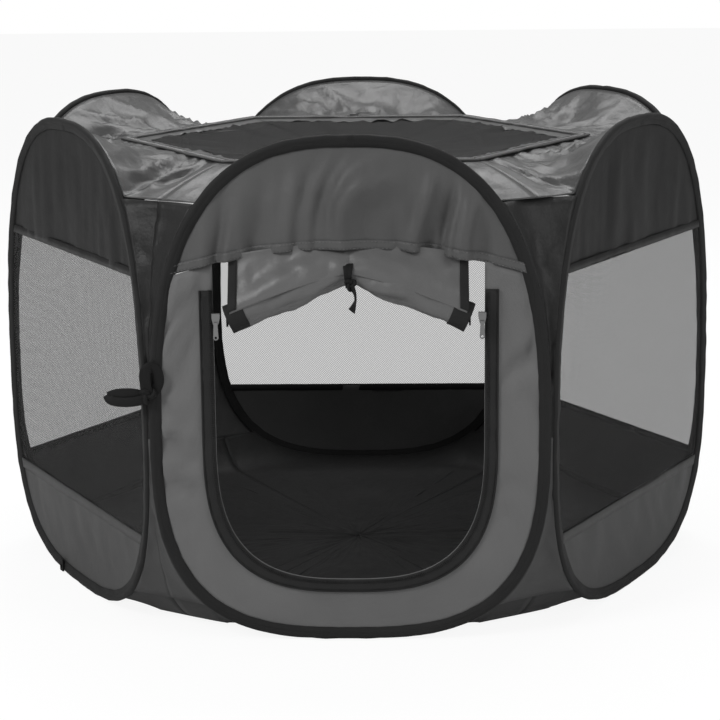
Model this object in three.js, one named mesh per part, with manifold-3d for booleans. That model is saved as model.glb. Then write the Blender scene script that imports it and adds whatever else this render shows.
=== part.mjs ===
// A six-sided pop-up pet playpen. Six sprung wire hoops stand in a hexagon, each in a fabric
// sleeve that is folded round the edge of its wall. The front wall has a zipped doorway whose
// flap is rolled up and tied, and the roof has a zipped mesh lid.
// Millimetres, Z up. The origin is the middle of the floor, on the ground. The front faces -Y.

import * as THREE from "three";
import { mergeVertices } from "three/addons/utils/BufferGeometryUtils.js";
import Module from "manifold-3d";

// ---- driving dimensions ----
const HOOP_WIDTH = 468; // outside of the sleeve, side to side
const HOOP_HEIGHT = 600; // outside of the sleeve, ground to crown
const HOOP_WIDEST = 246; // height at which a hoop is widest
const CROWN_POWER = 2.6; // superellipse power above that height
const FOOT_POWER = 2.9; // and below it
const HOOP_STEPS = 36; // straight lengths that stand for a hoop's curve

const WIRE = 3.6; // spring steel wire
const WIRE_SIDES = 5;
const SLEEVE_WIDTH = 14; // from the outer edge of the fold to its lips
const SLEEVE_THICK = 7.6; // at the wire
const SLEEVE_WALL = 1.1;
const SLEEVE_EDGE = 1.2; // half the thickness of the outer edge of the fold
const CLOTH = 1.2; // thickness of a fabric sheet with its seams
const CLEAR = 0.3; // running gap between pieces that touch
const CLOTH_TUCK = 7.5; // how far inside the hoop's outer edge a wall's edge lies
const CORNER_GAP = 1; // from the widest point of a sleeve to the corner line

const WINDOW_TOP = 436; // height of the hem above a wall's mesh window
const WINDOW_BOTTOM = 120; // height of the hem below it

const DOOR_WIDTH = 312; // clear doorway
const DOOR_SILL = 75; // lowest point of the doorway's edge
const HEM_MIDDLE = 467; // height of the header's hem at the middle of the front
const HEM_END = 428; // and at the hoop
const ZIP_TAPE_WIDTH = 14;
const ZIP_TAPE_THICK = 1.1;

const ROLL_RADIUS = 14.5; // rolled door flap
const ROLL_SHORT = 20; // each end of the roll lies this far inside the doorway's edge
const ROLL_HALF = DOOR_WIDTH / 2 - ROLL_SHORT;
const ROLL_MIDDLE = 441; // height of the roll's centre line at the tie
const ROLL_END = 393; // and at its drooping ends
const FLAP_LAP = 8; // how far the flap's cloth laps over the header
const TIE_WIDTH = 14;
const TIE_WALL = 1.2;
const TIE_TAIL = 26; // hanging end of the tie
const TIE_TAIL_WIDE = 8;
const TIE_TAIL_THICK = 2;

const SLIDER_LONG = 13; // zip sliders
const SLIDER_WIDE = 9;
const SLIDER_THICK = 4.2;
const PULL_LONG = 21;
const PULL_WIDE = 6;
const PULL_THICK = 1.4;
const PULL_HOLE = 3;
const SLIDER_INSET = 3; // from the doorway's edge to the middle of a door slider
const DOOR_SLIDER_TOP = 396; // height of a door slider's upper end, with the door open
const LID_ZIP_RISE = 1.6; // the lid slider's back stands this far above the cloth at the zip
const STOP_LONG = 4; // crimped zip stop
const STOP_WIDE = 7;
const STOP_THICK = 2.4;

const ROOF_EDGE_DROP = 74; // from the crown to where the roof leaves a hoop and the gusset starts
const ROOF_EDGE_HEIGHT = HOOP_HEIGHT - ROOF_EDGE_DROP;
const ZIP_DROP = 48; // from the crown to the lid's zip
const ZIP_HEIGHT = HOOP_HEIGHT - ZIP_DROP;
const ROOF_THICK = 1.8; // the roof's cloth is lined
const ZIP_RADIUS = 306; // from the middle to a corner of the lid's zip
const LID_BORDER = 30; // width of the fabric border inside the zip
const LID_SAG = 12;
const GUSSET_GAP = 7; // the corner gussets end where two hoops are this far apart
const FLOOR_EDGE_HEIGHT = 42; // taut lower edge of the corner gussets
const EDGE_TUCK = 5; // how far inside a hoop's outer edge the roof and the floor are sewn on
const GUSSET_STANDOFF = 1.6; // from a hoop's outer edge to the cloth that spans to the next hoop
const GUSSET_ROWS = 6;
const UPPER_BOW = 6; // how far a gusset's wide edge bows in
const LOWER_BOW = 4;
const ARC_POINTS = 6; // points along each hoop's stretch of a roof or floor edge

const STRAP_WIDE = 12; // closure strap on the front left corner
const STRAP_THICK = 1.6;
const STRAP_HEIGHT = 300;
const STRAP_SEAT = 10.9 - SLEEVE_THICK / 2; // how far back the loop sits, so that it touches the sleeves
const STAKE_LOOP_WIDE = 10;
const STAKE_LOOP_LONG = 16;
const STAKE_LOOP_THICK = 2;
const STAKE_HOLE = 5.6;
const STAKE_HOLE_HEIGHT = 6.4;
const STAKE_LOOP_ASIDE = 60; // from the middle of its wall

const SIDES = 6;
const SIDE = HOOP_WIDTH + 2 * CORNER_GAP; // side of the hexagon of hoop planes
const APOTHEM = (SIDE * Math.sqrt(3)) / 2;
const WALLS = ["front", "front_right", "back_right", "back", "back_left", "front_left"];

// ---- materials ----
const paint = (color, roughness, metalness = 0) =>
  new THREE.MeshStandardMaterial({ color, roughness, metalness });
const steel = paint(0x8d8f92, 0.35, 1);
const binding = paint(0x2c2c2e, 0.85);
const blackCloth = paint(0x222224, 0.7);
const greyCloth = paint(0x5c5b5c, 0.6);
const lowerCloth = paint(0x4b4b4c, 0.65);
const roofCloth = paint(0x555556, 0.5);
const floorCloth = paint(0x3a3a3b, 0.6);
const mesh = paint(0x1b1b1c, 0.9);
const zipTape = paint(0x2a2a2c, 0.8);
const zipMetal = paint(0x77787b, 0.35, 0.9);
const webbing = paint(0x1c1c1e, 0.8);

// ---- solids ----
const wasm = await Module();
wasm.setup();

function solid(geometry) {
  const bare = geometry.clone();
  bare.deleteAttribute("normal");
  bare.deleteAttribute("uv");
  const merged = mergeVertices(bare, 1e-4);
  return new wasm.Manifold(
    new wasm.Mesh({
      numProp: 3,
      vertProperties: Float32Array.from(merged.attributes.position.array),
      triVerts: Uint32Array.from(merged.index.array),
    }),
  );
}

function geometryOf(manifold) {
  const { vertProperties, triVerts } = manifold.getMesh();
  const geometry = new THREE.BufferGeometry();
  geometry.setAttribute("position", new THREE.BufferAttribute(vertProperties, 3));
  geometry.setIndex(new THREE.BufferAttribute(triVerts, 1));
  geometry.computeVertexNormals();
  return geometry;
}

const intersect = (a, b) => geometryOf(solid(a).intersect(solid(b)));
const subtract = (a, b) => geometryOf(solid(a).subtract(solid(b)));

// Joins rows of points into one closed surface. Rows that all hold the same point make a tip.
// From row turnFrom on, each quad is split along its other diagonal.
function loft(rows, { closedRows = false, closedColumns = false, turnFrom = rows.length }) {
  const positions = rows.flat().flatMap((p) => [p.x, p.y, p.z]);
  const width = rows[0].length;
  const index = [];
  const rowCount = closedRows ? rows.length : rows.length - 1;
  const columnCount = closedColumns ? width : width - 1;
  const apart = (a, b, k) => Math.abs(positions[3 * a + k] - positions[3 * b + k]);
  const same = (a, b) => [0, 1, 2].every((k) => apart(a, b, k) < 1e-6);
  const add = (a, b, c) => {
    if (same(a, b) || same(b, c) || same(c, a)) return;
    index.push(a, b, c);
  };
  for (let i = 0; i < rowCount; i++) {
    for (let j = 0; j < columnCount; j++) {
      const a = i * width + j;
      const b = i * width + ((j + 1) % width);
      const c = ((i + 1) % rows.length) * width + j;
      const d = ((i + 1) % rows.length) * width + ((j + 1) % width);
      const turned = i >= turnFrom;
      add(a, b, turned ? d : c);
      add(turned ? a : b, d, c);
    }
  }
  const geometry = new THREE.BufferGeometry();
  geometry.setAttribute("position", new THREE.Float32BufferAttribute(positions, 3));
  geometry.setIndex(index);
  return facingOut(mergeVertices(geometry, 1e-4));
}

// Turns every face round if the closed surface holds a negative volume.
function facingOut(geometry) {
  const p = geometry.attributes.position;
  const v = [0, 1, 2].map(() => new THREE.Vector3());
  let volume = 0;
  for (let i = 0; i < geometry.index.count; i += 3) {
    v.forEach((point, k) => point.fromBufferAttribute(p, geometry.index.getX(i + k)));
    volume += v[0].dot(v[1].clone().cross(v[2]));
  }
  if (volume < 0) geometry.index.array.reverse();
  geometry.computeVertexNormals();
  return geometry;
}

// A sheet with a thickness: rows of points for its top face, and how far down its other face is.
function sheet(rows, down, closedColumns) {
  const bottom = rows.map((row) => row.map((p) => p.clone().add(down)));
  if (closedColumns) {
    // both faces split their quads alike, so a bent sheet keeps its thickness
    const loops = [...rows, ...bottom.reverse()];
    return loft(loops, { closedRows: true, closedColumns: true, turnFrom: rows.length });
  }
  const around = rows.map((row, i) => [...row, ...bottom[i].slice().reverse()]);
  const middle = Math.floor(rows[0].length / 2);
  const first = around[0].map(() => midpoint(rows[0][middle], bottom[0][middle]));
  const last = around[0].map(() => midpoint(rows.at(-1)[middle], bottom.at(-1)[middle]));
  return loft([first, ...around, last], { closedColumns: true });
}

const midpoint = (a, b) => a.clone().add(b).multiplyScalar(0.5);

// A flat shape in a wall's plane, with the wall's X across and Z up, between two depths.
function flat(shape, from, to) {
  const depth = to - from;
  const geometry = new THREE.ExtrudeGeometry(shape, { depth, bevelEnabled: false, curveSegments: 12 });
  geometry.rotateX(Math.PI / 2);
  geometry.translate(0, to, 0);
  return geometry;
}

const polygon = (points) => new THREE.Shape(points.map((p) => new THREE.Vector2(p.x, p.y)));

function rectangle(left, right, low, high) {
  const corners = [[left, low], [right, low], [right, high], [left, high]];
  return polygon(corners.map(([x, y]) => new THREE.Vector2(x, y)));
}

// ---- the hoop's outline ----
// The outline in a wall's plane: x across, y up.
class HoopOutline extends THREE.Curve {
  getPoint(t, target = new THREE.Vector2()) {
    const angle = Math.PI / 2 + 2 * Math.PI * t;
    const up = Math.sin(angle) >= 0;
    const power = 2 / (up ? CROWN_POWER : FOOT_POWER);
    const rise = up ? HOOP_HEIGHT - HOOP_WIDEST : HOOP_WIDEST;
    const x = Math.sign(Math.cos(angle)) * Math.abs(Math.cos(angle)) ** power;
    const z = Math.sign(Math.sin(angle)) * Math.abs(Math.sin(angle)) ** power;
    return target.set((x * HOOP_WIDTH) / 2, HOOP_WIDEST + z * rise);
  }
}

const outline = new HoopOutline();
outline.arcLengthDivisions = 4000;
const stations = outline.getSpacedPoints(HOOP_STEPS).slice(0, HOOP_STEPS);

// Unit vectors that point straight into the hoop at each station.
const inward = stations.map((point, i) => {
  const before = stations.at(i - 1);
  const after = stations[(i + 1) % HOOP_STEPS];
  return new THREE.Vector2(-(after.y - before.y), after.x - before.x).normalize();
});

const inset = (distance) => stations.map((p, i) => p.clone().addScaledVector(inward[i], distance));

// Half the hoop's width at a height, and the height of its crown or foot at a distance across.
function halfWidthAt(z) {
  const power = z > HOOP_WIDEST ? CROWN_POWER : FOOT_POWER;
  const rise = z > HOOP_WIDEST ? HOOP_HEIGHT - HOOP_WIDEST : HOOP_WIDEST;
  const share = Math.abs(z - HOOP_WIDEST) / rise;
  return (HOOP_WIDTH / 2) * (1 - share ** power) ** (1 / power);
}

function crownAt(x) {
  const share = Math.abs(x) / (HOOP_WIDTH / 2);
  return HOOP_WIDEST + (HOOP_HEIGHT - HOOP_WIDEST) * (1 - share ** CROWN_POWER) ** (1 / CROWN_POWER);
}

function footAt(x) {
  const share = Math.abs(x) / (HOOP_WIDTH / 2);
  return HOOP_WIDEST - HOOP_WIDEST * (1 - share ** FOOT_POWER) ** (1 / FOOT_POWER);
}

// Sweeps a closed section, given as [inset, depth] pairs, round the hoop.
function aroundHoop(section) {
  const rows = stations.map((point, i) =>
    section.map(([distance, depth]) => {
      const at = point.clone().addScaledVector(inward[i], distance);
      return new THREE.Vector3(at.x, depth, at.y);
    }),
  );
  return loft(rows, { closedRows: true, closedColumns: true });
}

// ---- hoop wire and sleeve ----
const WIRE_INSET = SLEEVE_WALL + 3 * CLEAR + WIRE / 2;

function hoopWire() {
  const section = [];
  for (let i = 0; i < WIRE_SIDES; i++) {
    const angle = (2 * Math.PI * i) / WIRE_SIDES;
    section.push([WIRE_INSET + (Math.cos(angle) * WIRE) / 2, (Math.sin(angle) * WIRE) / 2]);
  }
  return aroundHoop(section);
}

// The sleeve is folded round the wire, and its two lips hold the wall's edge between them.
function hoopSleeve() {
  const slit = CLOTH / 2 + CLEAR;
  const bulge = SLEEVE_THICK / 2;
  const throat = 2 * WIRE_INSET - SLEEVE_WALL;
  const half = [
    [SLEEVE_WIDTH, slit],
    [throat, bulge - SLEEVE_WALL],
    [SLEEVE_WALL + CLEAR, SLEEVE_EDGE],
  ];
  const outer = [
    [0, SLEEVE_EDGE],
    [throat, bulge],
    [SLEEVE_WIDTH, slit + SLEEVE_WALL],
  ];
  const mirrored = (points) => points.map(([distance, depth]) => [distance, -depth]).reverse();
  return aroundHoop([...half, ...mirrored(half), ...mirrored(outer), ...outer]);
}

// ---- walls ----
const wallCloth = flat(polygon(inset(CLOTH_TUCK)), -CLOTH / 2, CLOTH / 2);

function wallBand(low, high) {
  const region = rectangle(-HOOP_WIDTH, HOOP_WIDTH, low + CLEAR / 2, high - CLEAR / 2);
  return intersect(wallCloth, flat(region, -CLOTH, CLOTH));
}

// The hem of the header is a shallow arch from hoop to hoop.
function hemCurve(shift) {
  const reach = HOOP_WIDTH / 2;
  const peak = 2 * HEM_MIDDLE - HEM_END;
  return new THREE.QuadraticBezierCurve(
    new THREE.Vector2(-reach, HEM_END + shift),
    new THREE.Vector2(0, peak + shift),
    new THREE.Vector2(reach, HEM_END + shift),
  ).getPoints(12);
}

function frontHeader() {
  const corner = (side, z) => new THREE.Vector2(side * HOOP_WIDTH, z);
  const top = [corner(1, 2 * HOOP_HEIGHT), corner(-1, 2 * HOOP_HEIGHT)];
  const region = polygon([corner(-1, HEM_END), ...hemCurve(CLEAR / 2), corner(1, HEM_END), ...top]);
  return intersect(wallCloth, flat(region, -CLOTH, CLOTH));
}

const DOOR_STEPS = 20; // straight lengths round the doorway's foot

// Points down one side of the doorway, round its foot and up the other side.
function doorwayEdge(grow, top) {
  const half = DOOR_WIDTH / 2 + grow;
  const drop = HOOP_WIDEST - DOOR_SILL + grow;
  const points = [new THREE.Vector2(-half, top)];
  for (let i = 0; i <= DOOR_STEPS; i++) {
    const angle = Math.PI + (Math.PI * i) / DOOR_STEPS;
    const x = Math.sign(Math.cos(angle)) * Math.abs(Math.cos(angle)) ** (2 / FOOT_POWER);
    const z = Math.abs(Math.sin(angle)) ** (2 / FOOT_POWER);
    points.push(new THREE.Vector2(half * x, HOOP_WIDEST - drop * z));
  }
  points.push(new THREE.Vector2(half, top));
  return points;
}

function doorSurround() {
  const corner = (side, z) => new THREE.Vector2(side * HOOP_WIDTH, z);
  const right = [corner(1, HEM_END), corner(1, -HOOP_WIDTH)];
  const left = [corner(-1, -HOOP_WIDTH), corner(-1, HEM_END)];
  const region = polygon([...hemCurve(-CLEAR / 2), ...right, ...left]);
  const below = intersect(wallCloth, flat(region, -CLOTH, CLOTH));
  return subtract(below, flat(polygon(doorwayEdge(0, HOOP_HEIGHT)), -CLOTH, CLOTH));
}

const TAPE_FACE = -CLOTH / 2 - CLEAR - ZIP_TAPE_THICK; // outer face of the zip tape
const TAPE_TOP = HEM_END - 6; // the tape ends this far below the header's hem
const TAPE_INSET = 1; // from the doorway's edge to the tape's

function doorZipTape() {
  const inner = doorwayEdge(TAPE_INSET, TAPE_TOP);
  const outer = doorwayEdge(TAPE_INSET + ZIP_TAPE_WIDTH, TAPE_TOP);
  return flat(polygon([...outer, ...inner.reverse()]), TAPE_FACE, TAPE_FACE + ZIP_TAPE_THICK);
}

// ---- rolled door flap ----
const SEAT = 0.1; // added to a running gap, where faceted curves touch
const ROLL_DEPTH = -(CLOTH / 2 + CLEAR + SEAT + ROLL_RADIUS);
const TIE_SLACK = 0.8;
const TIE_OUTER = ROLL_RADIUS + TIE_SLACK + TIE_WALL;
const ROLL_SIDES = 10;
const ROLL_LAP = 0.4; // share of the roll's radius that the flap's cloth comes down to
const ROLL_DROOP = 1.2; // power of the roll's droop from its tie to its ends

const rollHeight = (share) => ROLL_MIDDLE - (ROLL_MIDDLE - ROLL_END) * Math.abs(share) ** ROLL_DROOP;

function doorRoll(radius) {
  const along = [-1, -0.55, 0, 0.55, 1].map(
    (share) => new THREE.Vector3(share * ROLL_HALF, ROLL_DEPTH, rollHeight(share)),
  );
  const round = new THREE.EllipseCurve(0, 0, radius, radius);
  const circle = new THREE.Shape(round.getPoints(ROLL_SIDES).slice(0, ROLL_SIDES));
  const path = new THREE.CatmullRomCurve3(along);
  return new THREE.ExtrudeGeometry(circle, { steps: 18, extrudePath: path, bevelEnabled: false });
}

// The flap's cloth hangs from behind the header's hem in front of the wall, down to the roll.
function doorFlapCloth() {
  const hem = hemCurve(FLAP_LAP).filter((p) => Math.abs(p.x) < ROLL_HALF);
  const footAbove = (x) => rollHeight(x / ROLL_HALF) + ROLL_RADIUS * ROLL_LAP;
  const foot = hem.map((p) => new THREE.Vector2(p.x, footAbove(p.x))).reverse();
  const back = -CLOTH / 2 - CLEAR;
  const whole = flat(polygon([...hem, ...foot]), back - CLOTH, back);
  const aboveRoll = subtract(whole, doorRoll(ROLL_RADIUS + CLEAR));
  const tieRoom = TIE_OUTER + CLEAR;
  const room = new THREE.CylinderGeometry(tieRoom, tieRoom, TIE_WIDTH + 2 * CLEAR, 24);
  room.rotateZ(Math.PI / 2);
  room.translate(0, ROLL_DEPTH, ROLL_MIDDLE);
  return subtract(aboveRoll, room);
}

// The tie goes once round the roll.
function doorTie() {
  const inner = TIE_OUTER - TIE_WALL;
  const half = TIE_WIDTH / 2;
  const outer = TIE_OUTER;
  const profile = [[inner, -half], [outer, -half], [outer, half], [inner, half], [inner, -half]];
  const geometry = new THREE.LatheGeometry(profile.map(([r, y]) => new THREE.Vector2(r, y)), 20);
  geometry.rotateZ(Math.PI / 2);
  geometry.translate(0, ROLL_DEPTH, ROLL_MIDDLE);
  return geometry;
}

function doorTieTail() {
  const low = ROLL_MIDDLE - TIE_OUTER - CLEAR;
  const half = TIE_TAIL_WIDE / 2;
  const shape = rectangle(-half, half, low - TIE_TAIL, low);
  return flat(shape, ROLL_DEPTH - TIE_TAIL_THICK / 2, ROLL_DEPTH + TIE_TAIL_THICK / 2);
}

// ---- zip sliders, drawn with the pull hanging straight down ----
const SLIDER_PIN = 3; // height of the pull's pivot above the slider's lower end
const SLIDER_WAIST = 0.32; // half the width of a slider's narrow end, as a share of its wide end
const SLIDER_SHOULDER = 0.55; // where a slider reaches its full width, as a share of its length
const PULL_NECK = 0.7; // width of a pull at its pivot, as a share of its full width

function slider() {
  const waist = SLIDER_WIDE * SLIDER_WAIST;
  const shoulder = SLIDER_LONG * SLIDER_SHOULDER;
  const shape = new THREE.Shape();
  shape.moveTo(-waist, 0);
  shape.lineTo(waist, 0);
  shape.lineTo(SLIDER_WIDE / 2, shoulder);
  shape.lineTo(SLIDER_WIDE / 2, SLIDER_LONG);
  shape.lineTo(-SLIDER_WIDE / 2, SLIDER_LONG);
  shape.lineTo(-SLIDER_WIDE / 2, shoulder);
  return flat(shape, -SLIDER_THICK, 0);
}

function pull() {
  const half = PULL_WIDE / 2;
  const shape = new THREE.Shape();
  shape.moveTo(-half * PULL_NECK, 0);
  shape.lineTo(-half, -PULL_LONG + half);
  shape.absarc(0, -PULL_LONG + half, half, Math.PI, 2 * Math.PI, false);
  shape.lineTo(half * PULL_NECK, 0);
  const hole = new THREE.Path();
  hole.absarc(0, -PULL_LONG + half, PULL_HOLE / 2, 0, 2 * Math.PI, true);
  shape.holes.push(hole);
  const options = { depth: PULL_THICK, bevelEnabled: false, curveSegments: 6 };
  const geometry = new THREE.ExtrudeGeometry(shape, options);
  geometry.rotateX(Math.PI / 2);
  return geometry;
}

// ---- corner gussets, roof and floor ----
// A point on a wall, turned into the pen's frame: x across the wall, depth inward, z up.
function onWall(wall, x, depth, z) {
  const point = new THREE.Vector3(x, depth - APOTHEM, z);
  return point.applyAxisAngle(new THREE.Vector3(0, 0, 1), (wall * 2 * Math.PI) / SIDES);
}

// The height at which two hoops stand a given distance apart, above or below the widest height.
function heightOfGap(gap, power, rise, direction) {
  const away = (gap / (2 * Math.cos(Math.PI / SIDES)) - CORNER_GAP) / (HOOP_WIDTH / 2);
  return HOOP_WIDEST + direction * rise * (1 - (1 - away) ** power) ** (1 / power);
}

// A strip of cloth between the outer edges of two neighbouring hoops, from one height to another.
function gusset(wall, from, to, bow) {
  const middle = ((wall + 0.5) * 2 * Math.PI) / SIDES - Math.PI / 2;
  const out = new THREE.Vector3(Math.cos(middle), Math.sin(middle), 0);
  const rows = [];
  for (let i = 0; i <= GUSSET_ROWS; i++) {
    const share = i / GUSSET_ROWS;
    const z = from + (to - from) * share;
    const edge = halfWidthAt(z) + GUSSET_STANDOFF;
    const left = onWall(wall, edge, 0, z);
    const right = onWall((wall + 1) % SIDES, -edge, 0, z);
    const centre = midpoint(left, right).addScaledVector(out, -bow * share);
    rows.push([left, centre, right]);
  }
  return sheet(rows, out.multiplyScalar(-CLOTH), false);
}

// One loop of points round the pen along the walls' edges, from corner to corner of each wall.
function edgeLoop(heightAt, reach, depth) {
  const points = [];
  for (let wall = 0; wall < SIDES; wall++) {
    for (let i = 0; i <= ARC_POINTS; i++) {
      const x = reach * ((2 * i) / ARC_POINTS - 1);
      points.push(onWall(wall, x, depth, heightAt(x)));
    }
  }
  return points;
}

const CORNER_SHARE = 0.02; // a hexagon's side starts and ends this share of its length from a corner

// The same number of points on a hexagon, whose corners lie on the corner lines.
function hexagonLoop(radius, z) {
  const points = [];
  for (let wall = 0; wall < SIDES; wall++) {
    for (let i = 0; i <= ARC_POINTS; i++) {
      const share = CORNER_SHARE + ((1 - 2 * CORNER_SHARE) * i) / ARC_POINTS;
      const start = (wall * 2 * Math.PI) / SIDES - (2 * Math.PI) / 3;
      const a = new THREE.Vector3(Math.cos(start), Math.sin(start), 0);
      const b = a.clone().applyAxisAngle(new THREE.Vector3(0, 0, 1), (2 * Math.PI) / SIDES);
      points.push(a.lerp(b, share).multiplyScalar(radius).setZ(z));
    }
  }
  return points;
}

const DOWN = new THREE.Vector3(0, 0, -CLOTH);
const HOOP_BACK = SLEEVE_THICK / 2 + CLEAR + SEAT; // how far inside a wall's plane the roof starts
const EDGE_SHORT = 2; // the roof and the floor stop this far short of the hoop's outer edge
const ROOF_CURVE = 0.35; // how much of the crown's rise is left midway from the hoop to the zip
const ROOF_DIP = 3; // how far the roof sinks there
const LID_FALL = 2; // from the zip down to the inner edge of the lid's border
const LID_HALF_SAG = 0.75; // share of the lid's sag that is reached halfway to its middle

function roofBorder() {
  const reach = halfWidthAt(ROOF_EDGE_HEIGHT) - EDGE_SHORT;
  const edge = edgeLoop((x) => crownAt(x) - EDGE_TUCK, reach, HOOP_BACK);
  const inner = hexagonLoop(ZIP_RADIUS, ZIP_HEIGHT);
  const between = edge.map((p, i) => {
    const z = ZIP_HEIGHT + ROOF_CURVE * (p.z - ZIP_HEIGHT) - ROOF_DIP;
    return midpoint(p, inner[i]).setZ(z);
  });
  return sheet([edge, between, inner], new THREE.Vector3(0, 0, -ROOF_THICK), true);
}

const ZIP_GAP = 1; // the lid's cloth stops this far inside the zip corner

function lidBorder() {
  const outer = hexagonLoop(ZIP_RADIUS - ZIP_GAP, ZIP_HEIGHT);
  const inner = hexagonLoop(ZIP_RADIUS - LID_BORDER, ZIP_HEIGHT - LID_FALL);
  return sheet([outer, inner], DOWN, true);
}

function lidMesh() {
  const outer = ZIP_RADIUS - LID_BORDER - ZIP_GAP;
  const top = ZIP_HEIGHT - LID_FALL;
  const half = hexagonLoop(outer / 2, top - LID_SAG * LID_HALF_SAG);
  const tip = hexagonLoop(0, top - LID_SAG);
  return sheet([hexagonLoop(outer, top), half, tip], DOWN, true);
}

const FLOOR_SHORT = 30; // the floor lies flat from this far inside the hoops

function floorSheet() {
  const reach = halfWidthAt(FLOOR_EDGE_HEIGHT) - EDGE_SHORT;
  const edge = edgeLoop((x) => footAt(x) + EDGE_TUCK, reach, HOOP_BACK);
  const ground = hexagonLoop(SIDE - 2 * SLEEVE_THICK - FLOOR_SHORT, CLOTH);
  const tip = hexagonLoop(0, CLOTH);
  return sheet([edge, ground, tip], DOWN, true);
}

// ---- closure strap and stake loops ----
function closureStrap() {
  const path = new THREE.CatmullRomCurve3(
    [
      [-46, -13, 4],
      [-24, -14, 2],
      [-4, -13, 0],
      [10, -12, 8],
      [13, -12, 22],
      [4, -13, 32],
      [-5, -15, 30],
    ].map(([x, y, z]) => new THREE.Vector3(x, y, z)),
  );
  const section = rectangle(-STRAP_THICK / 2, STRAP_THICK / 2, -STRAP_WIDE / 2, STRAP_WIDE / 2);
  const options = { steps: 20, extrudePath: path, bevelEnabled: false };
  const geometry = new THREE.ExtrudeGeometry(section, options);
  geometry.translate(-SIDE / 2, STRAP_SEAT, STRAP_HEIGHT);
  return geometry;
}

function stakeLoop() {
  const shape = rectangle(-STAKE_LOOP_WIDE / 2, STAKE_LOOP_WIDE / 2, 0, STAKE_LOOP_LONG);
  const hole = new THREE.Path();
  hole.absarc(0, STAKE_HOLE_HEIGHT, STAKE_HOLE / 2, 0, 2 * Math.PI, true);
  shape.holes.push(hole);
  const options = { depth: STAKE_LOOP_THICK, bevelEnabled: false, curveSegments: 4 };
  const geometry = new THREE.ExtrudeGeometry(shape, options);
  geometry.rotateX(Math.PI / 2);
  return geometry;
}

// ---- assembly ----
const pen = new THREE.Group();

function piece(parent, name, geometry, material) {
  const made = new THREE.Mesh(geometry, material);
  made.name = name;
  parent.add(made);
  return made;
}

const walls = WALLS.map((_, i) => {
  const wall = new THREE.Group();
  wall.rotation.z = (i * 2 * Math.PI) / SIDES;
  wall.position.set(0, -APOTHEM, 0).applyAxisAngle(new THREE.Vector3(0, 0, 1), wall.rotation.z);
  pen.add(wall);
  return wall;
});

const wire = hoopWire();
const sleeve = hoopSleeve();
const upper = wallBand(WINDOW_TOP, HOOP_HEIGHT + SLEEVE_WIDTH);
const meshWindow = wallBand(WINDOW_BOTTOM, WINDOW_TOP);
const lower = wallBand(-SLEEVE_WIDTH, WINDOW_BOTTOM);

WALLS.forEach((name, i) => {
  piece(walls[i], `${name}_hoop`, wire, steel);
  piece(walls[i], `${name}_sleeve`, sleeve, binding);
  if (name === "front") return;
  piece(walls[i], `${name}_upper_wall`, upper, blackCloth);
  piece(walls[i], `${name}_mesh_window`, meshWindow, mesh);
  piece(walls[i], `${name}_lower_wall`, lower, lowerCloth);
});

const front = walls[0];
piece(front, "front_header", frontHeader(), greyCloth);
piece(front, "door_surround", doorSurround(), greyCloth);
piece(front, "door_zip_tape", doorZipTape(), zipTape);
piece(front, "door_roll", doorRoll(ROLL_RADIUS), greyCloth);
piece(front, "door_flap_cloth", doorFlapCloth(), greyCloth);
piece(front, "door_tie", doorTie(), webbing);
piece(front, "door_tie_tail", doorTieTail(), webbing);

// A slider with its pull, whose back lies on the zip at the group's origin.
function zipSlider(parent, name) {
  const group = new THREE.Group();
  parent.add(group);
  piece(group, `${name}_slider`, slider(), zipMetal);
  piece(group, `${name}_pull`, pull(), zipMetal).position.set(0, -SLIDER_THICK - CLEAR, SLIDER_PIN);
  return group;
}

for (const [side, direction] of [["left", -1], ["right", 1]]) {
  const x = direction * (DOOR_WIDTH / 2 - SLIDER_INSET);
  const group = zipSlider(front, `door_${side}`);
  group.position.set(x, TAPE_FACE - CLEAR, DOOR_SLIDER_TOP - SLIDER_LONG);
}

// The upper gussets end just under the roof's edge, and the lower ones at the floor's.
const upperTip = heightOfGap(GUSSET_GAP, CROWN_POWER, HOOP_HEIGHT - HOOP_WIDEST, 1);
const lowerTip = heightOfGap(GUSSET_GAP, FOOT_POWER, HOOP_WIDEST, -1);
const underRoof = ROOF_EDGE_HEIGHT - EDGE_TUCK - ROOF_THICK - CLEAR;

for (let i = 0; i < SIDES; i++) {
  const corner = `${WALLS[i]}_to_${WALLS[(i + 1) % SIDES]}`;
  const above = gusset(i, upperTip, underRoof, UPPER_BOW);
  piece(pen, `upper_gusset_${corner}`, above, blackCloth);
  const below = gusset(i, lowerTip, FLOOR_EDGE_HEIGHT, LOWER_BOW);
  piece(pen, `lower_gusset_${corner}`, below, lowerCloth);
}

piece(pen, "roof_border", roofBorder(), roofCloth);
piece(pen, "lid_border", lidBorder(), roofCloth);
piece(pen, "lid_mesh", lidMesh(), mesh);
piece(pen, "floor_sheet", floorSheet(), floorCloth);

// The lid's zip starts and ends at the middle of the back edge.
// Its slider lies flat there against the zip's stop, with its pull along the zip.
const lidZip = zipSlider(pen, "lid");
lidZip.position.set(0, (ZIP_RADIUS * Math.sqrt(3)) / 2, ZIP_HEIGHT + LID_ZIP_RISE);
const across = new THREE.Vector3(0, 1, 0);
const lowered = new THREE.Vector3(0, 0, -1);
const towardStop = new THREE.Vector3(-1, 0, 0);
lidZip.setRotationFromMatrix(new THREE.Matrix4().makeBasis(across, lowered, towardStop));
const stop = new THREE.BoxGeometry(STOP_WIDE, STOP_THICK, STOP_LONG);
stop.translate(0, -STOP_THICK / 2, SLIDER_LONG + CLEAR + STOP_LONG / 2);
piece(lidZip, "lid_zip_stop", stop, zipMetal);

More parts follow.
